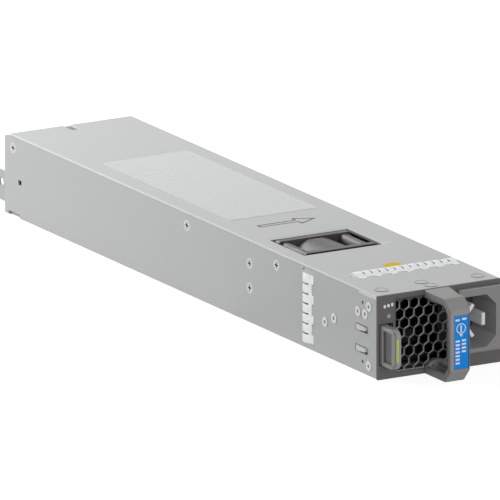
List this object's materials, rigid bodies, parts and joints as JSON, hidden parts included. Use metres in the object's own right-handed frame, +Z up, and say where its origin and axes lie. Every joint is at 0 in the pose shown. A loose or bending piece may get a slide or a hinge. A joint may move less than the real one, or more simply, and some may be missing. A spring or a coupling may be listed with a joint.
{
  "type": "server power supply module",
  "caption": "Slim metal power supply module for a server bay, with a pull handle, spring latch, power inlet, honeycomb air vent, built-in fan and a card edge at the rear.",
  "frame": {"origin": "under the middle of the whole module, on the surface that it rests on", "axes": "+X to the right seen from the front, +Y from the handle to the card edge, +Z up"},
  "size_m": [0.069, 0.3844, 0.0415],
  "materials": {
    "case_sheet": "brushed",
    "bezel_plastic": "matte",
    "grille_metal": "satin",
    "handle_plastic": "matte",
    "label_blue": "satin",
    "lever_plastic": "satin",
    "stripe_green": "satin",
    "spring_steel": "brushed",
    "fastener_steel": "satin",
    "contact_foil": "polished",
    "light_lens": "gloss",
    "inlet_plastic": "matte",
    "blade_metal": "polished",
    "circuit_board": "satin",
    "contact_gold": "polished",
    "fan_plastic": "satin",
    "magnet": "matte",
    "copper": "enamelled",
    "insulator": "matte",
    "ferrite": "matte",
    "film_yellow": "gloss",
    "fuse_ceramic": "gloss",
    "relay_case": "gloss",
    "disc_blue": "gloss",
    "component_black": "matte",
    "capacitor_sleeve": "gloss",
    "heatsink_metal": "brushed",
    "winding_tape": "satin",
    "lead_black": "matte",
    "label_silver": "satin",
    "sticker_yellow": "satin"
  },
  "bodies": {
    "case": {"chassis_tray": "case_sheet", "cover_top": "case_sheet", "rear_panel": "case_sheet", "front_bezel": "bezel_plastic", "vent_grille": "grille_metal", "handle": "handle_plastic", "handle_label": "label_blue", "handle_screws": "fastener_steel", "latch_leaf_spring": "spring_steel", "side_rivets": "fastener_steel", "top_rivets": "fastener_steel", "cover_screws": "fastener_steel", "heatsink_screws": "fastener_steel", "contact_strip_left": "contact_foil", "contact_strip_right": "contact_foil", "contact_strip_top": "contact_foil", "status_light_pipe": "light_lens", "status_board": "circuit_board", "inlet_housing": "inlet_plastic", "inlet_power_blades": "blade_metal", "inlet_earth_blade": "blade_metal", "inlet_board": "circuit_board", "inlet_link_bars": "copper", "fan_frame": "fan_plastic", "fan_bearings": "fastener_steel", "fan_stator": "copper", "main_board": "circuit_board", "edge_contacts": "contact_gold", "standoffs": "fastener_steel", "board_screws": "fastener_steel", "insulator_sheet": "insulator", "choke_core": "ferrite", "choke_windings": "copper", "film_capacitors": "film_yellow", "fuse": "fuse_ceramic", "inrush_relay": "relay_case", "disc_capacitors": "disc_blue", "primary_heatsink": "heatsink_metal", "bridge_rectifier": "component_black", "power_transistors": "component_black", "power_choke": "copper", "resonant_choke": "winding_tape", "bulk_capacitors": "capacitor_sleeve", "transformer_winding": "winding_tape", "transformer_core": "ferrite", "secondary_heatsink": "heatsink_metal", "output_capacitors": "capacitor_sleeve", "control_board": "circuit_board", "bus_bar": "copper", "fan_plug": "component_black", "fan_lead": "lead_black", "top_label": "label_silver", "top_sticker": "sticker_yellow"},
    "rotor": {"fan_impeller": "fan_plastic", "fan_magnet_ring": "magnet", "fan_shaft": "spring_steel"},
    "latch": {"latch_lever": "lever_plastic", "latch_stripe": "stripe_green", "latch_plate": "spring_steel"}
  },
  "joints": [
    {"name": "fan_spin", "type": "hinge", "parent": "case", "child": "rotor", "pos_m": [-0.0035, -0.07, 0.02], "axis": [0, 1, 0], "continuous": true},
    {"name": "latch_press", "type": "hinge", "parent": "case", "child": "latch", "pos_m": [-0.0312, -0.1322, 0.0167], "axis": [0, 0, 1], "range_deg": [0, 3.5], "stiffness_Nm_per_rad": 1, "springref_deg": -5.73, "deforming": ["latch_leaf_spring"]}
  ]
}
